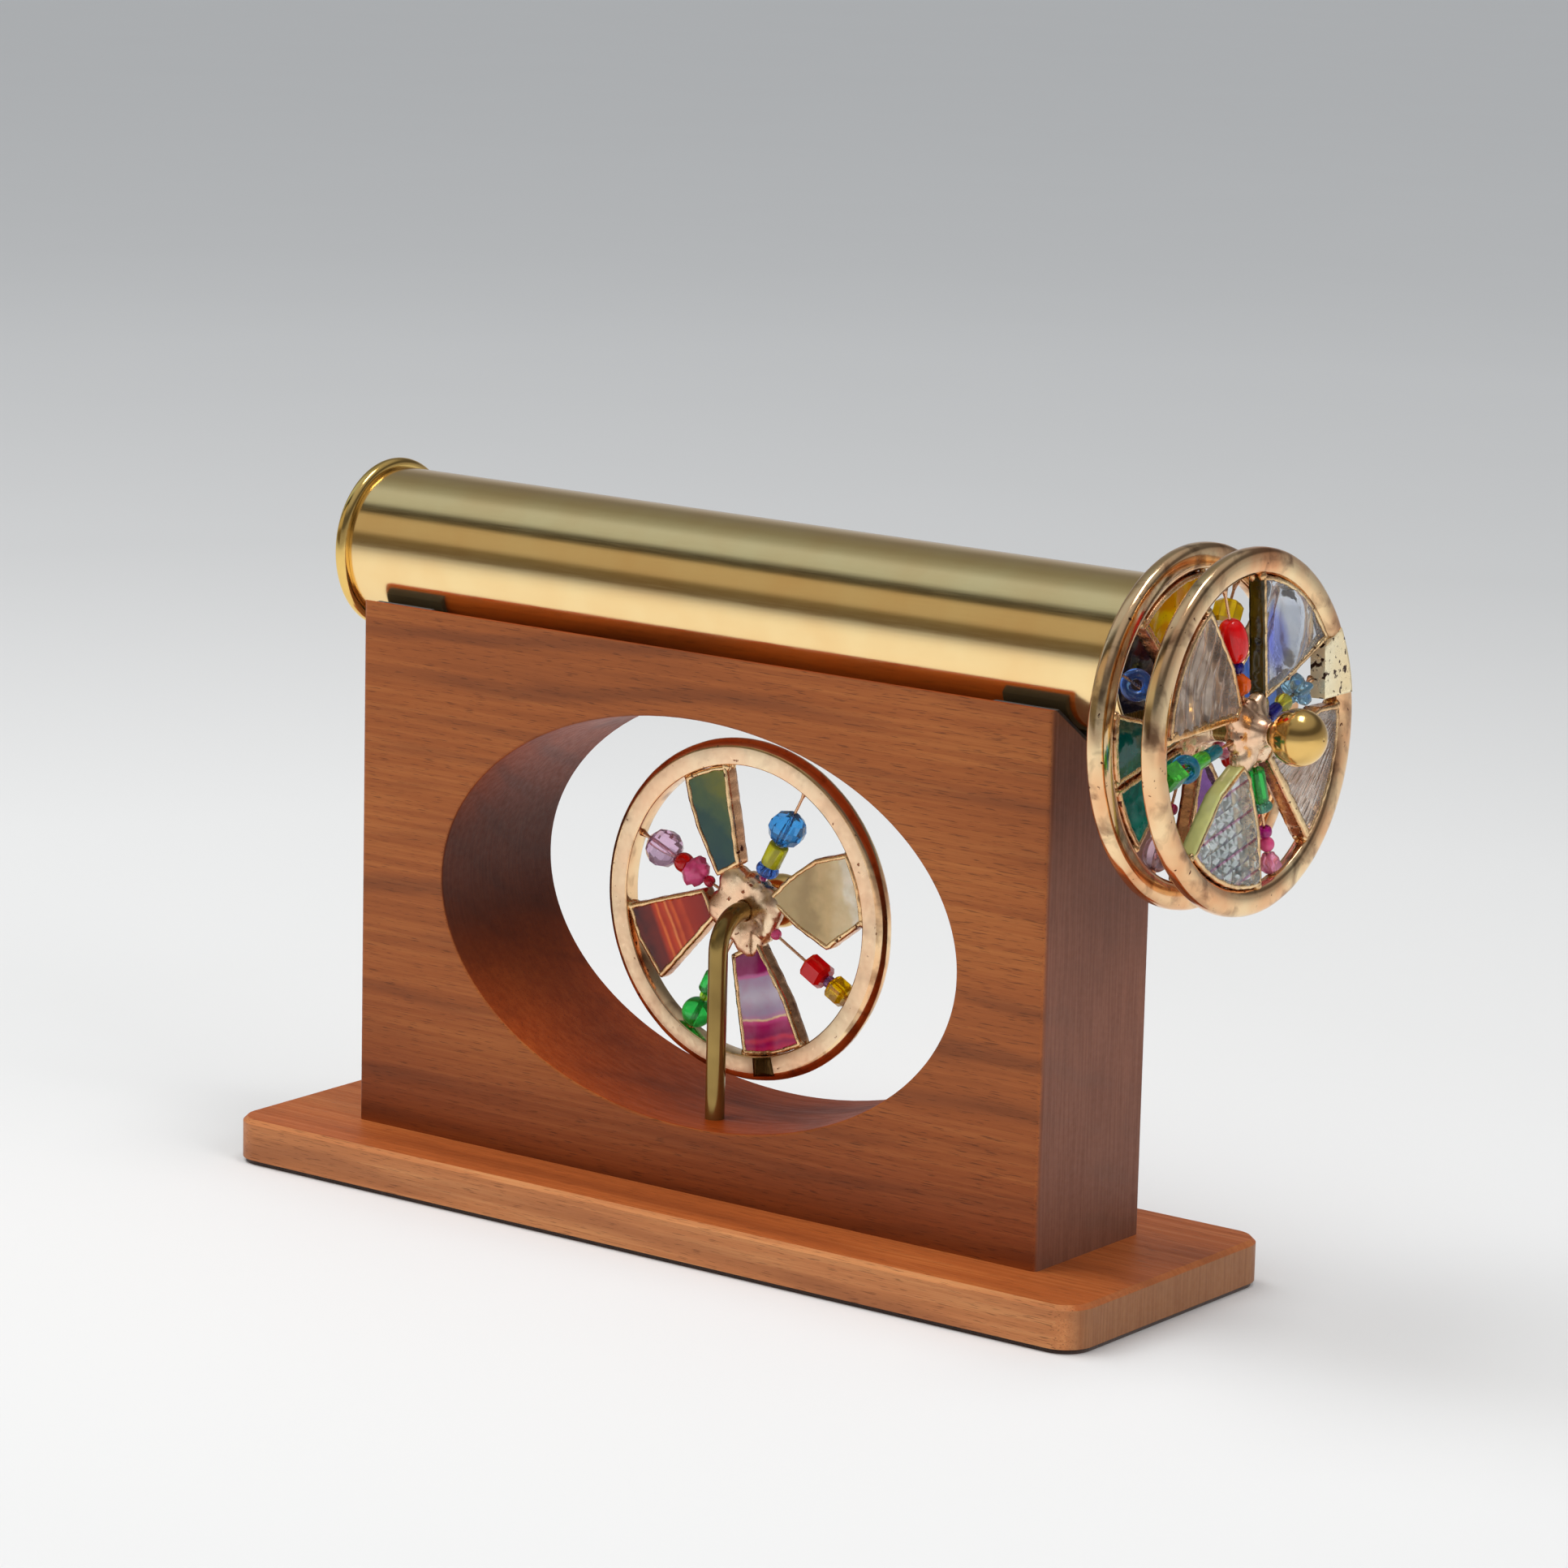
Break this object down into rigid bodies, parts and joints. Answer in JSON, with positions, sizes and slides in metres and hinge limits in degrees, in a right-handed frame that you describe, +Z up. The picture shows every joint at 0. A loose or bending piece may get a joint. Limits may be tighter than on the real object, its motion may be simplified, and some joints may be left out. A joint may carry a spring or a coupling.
{
  "type": "wheel kaleidoscope on a stand",
  "caption": "Brass tube kaleidoscope in a felt-lined cradle on a wooden block with an oval window; bead-and-glass wheels spin on an end axle and on a bent display post.",
  "frame": {"origin": "centre of the base's felt underside, on the surface it stands on", "axes": "+X from the eyepiece to the end wheels along the tube, +Y from the display post's side to the back, +Z up"},
  "size_m": [0.2893, 0.084, 0.1826],
  "materials": {
    "walnut_base": "satin oil",
    "walnut_block": "satin oil",
    "base_felt": "matte",
    "cradle_felt": "matte",
    "screw_steel": "zinc plated",
    "tube_brass": "polished, lacquered",
    "cap_brass": "polished",
    "rod_brass": "aged satin",
    "ball_brass": "polished",
    "lens_acrylic": "clear",
    "mirror_face": "first-surface mirror",
    "packing_foam": "black closed-cell foam",
    "plated_rim": "rose-gold plate",
    "plated_solder": "rose-gold plated solder",
    "bead_wire": "plated wire",
    "display_carnelian_agate": "polished agate slice",
    "display_green_agate": "polished agate slice",
    "display_cream_agate": "polished agate slice",
    "display_magenta_agate": "polished agate slice",
    "front_bubble_glass": "art glass",
    "front_wave_glass": "art glass",
    "front_pyramid_glass": "art glass",
    "front_reeded_glass": "art glass",
    "rear_amber_glass": "art glass",
    "rear_green_glass": "art glass",
    "rear_teal_glass": "art glass",
    "rear_violet_glass": "art glass",
    "rear_blue_glass": "art glass",
    "display_lilac_beads_glass": "glass and acrylic beads",
    "display_blue_beads_glass": "glass and acrylic beads",
    "display_amber_beads_glass": "glass and acrylic beads",
    "display_green_beads_glass": "glass and acrylic beads",
    "front_flower_beads_glass": "glass and acrylic beads",
    "front_red_beads_glass": "glass and acrylic beads",
    "front_teal_beads_glass": "glass and acrylic beads",
    "front_pink_beads_glass": "glass and acrylic beads",
    "rear_yellow_beads_glass": "glass and acrylic beads",
    "rear_blue_beads_glass": "glass and acrylic beads",
    "rear_mauve_beads_glass": "glass and acrylic beads",
    "rear_rose_beads_glass": "glass and acrylic beads"
  },
  "bodies": {
    "stand": {"base_felt": "base_felt", "base_plate": "walnut_base", "block_screws": "screw_steel", "upright_block": "walnut_block", "left_cradle_felt": "cradle_felt", "right_cradle_felt": "cradle_felt", "display_post": "rod_brass"},
    "display_wheel": {"display_amber_beads": "display_amber_beads_glass", "display_bead_wires": "bead_wire", "display_blue_beads": "display_blue_beads_glass", "display_carnelian_panel": "display_carnelian_agate", "display_cream_panel": "display_cream_agate", "display_foil": "plated_solder", "display_green_beads": "display_green_beads_glass", "display_green_panel": "display_green_agate", "display_hub": "plated_solder", "display_lilac_beads": "display_lilac_beads_glass", "display_magenta_panel": "display_magenta_agate", "display_ring": "plated_rim"},
    "display_knob": {"display_ball": "ball_brass"},
    "scope": {"scope_tube": "tube_brass", "eyepiece_cap": "cap_brass", "eyepiece_lens": "lens_acrylic", "base_mirror": "mirror_face", "left_mirror": "mirror_face", "right_mirror": "mirror_face", "rear_packing": "packing_foam", "front_packing": "packing_foam", "object_window": "lens_acrylic", "axle_block": "rod_brass", "wheel_axle": "rod_brass", "tube_spacer": "rod_brass", "wheel_spacer": "rod_brass"},
    "rear_wheel": {"rear_amber_panel": "rear_amber_glass", "rear_bead_wires": "bead_wire", "rear_blue_beads": "rear_blue_beads_glass", "rear_blue_panel": "rear_blue_glass", "rear_foil": "plated_solder", "rear_green_panel": "rear_green_glass", "rear_hub": "plated_solder", "rear_mauve_beads": "rear_mauve_beads_glass", "rear_ring": "plated_rim", "rear_rose_beads": "rear_rose_beads_glass", "rear_teal_panel": "rear_teal_glass", "rear_violet_panel": "rear_violet_glass", "rear_yellow_beads": "rear_yellow_beads_glass"},
    "front_wheel": {"front_bead_wires": "bead_wire", "front_bubble_panel": "front_bubble_glass", "front_flower_beads": "front_flower_beads_glass", "front_foil": "plated_solder", "front_hub": "plated_solder", "front_pink_beads": "front_pink_beads_glass", "front_plated_plate": "plated_solder", "front_pyramid_panel": "front_pyramid_glass", "front_red_beads": "front_red_beads_glass", "front_reeded_panel": "front_reeded_glass", "front_ring": "plated_rim", "front_teal_beads": "front_teal_beads_glass", "front_wave_panel": "front_wave_glass"},
    "axle_knob": {"axle_ball": "ball_brass"}
  },
  "joints": [
    {"name": "scope_lift", "type": "slide", "parent": "stand", "child": "scope", "axis": [0, 0, 1], "range_m": [0, 0.06]},
    {"name": "rear_wheel_spin", "type": "hinge", "parent": "scope", "child": "rear_wheel", "pos_m": [0.12761, 0, 0.14003], "axis": [0.9991, 0, 0.0427], "continuous": true},
    {"name": "front_wheel_spin", "type": "hinge", "parent": "scope", "child": "front_wheel", "pos_m": [0.142, 0, 0.14065], "axis": [0.9991, 0, 0.0427], "continuous": true},
    {"name": "axle_knob_off", "type": "slide", "parent": "scope", "child": "axle_knob", "axis": [0.9991, 0, 0.0427], "range_m": [0, 0.014]},
    {"name": "display_wheel_spin", "type": "hinge", "parent": "stand", "child": "display_wheel", "pos_m": [0.0014, 0.0013, 0.0775], "axis": [0, 1, 0], "continuous": true},
    {"name": "display_knob_off", "type": "slide", "parent": "stand", "child": "display_knob", "axis": [0, 1, 0], "range_m": [0, 0.014]}
  ]
}
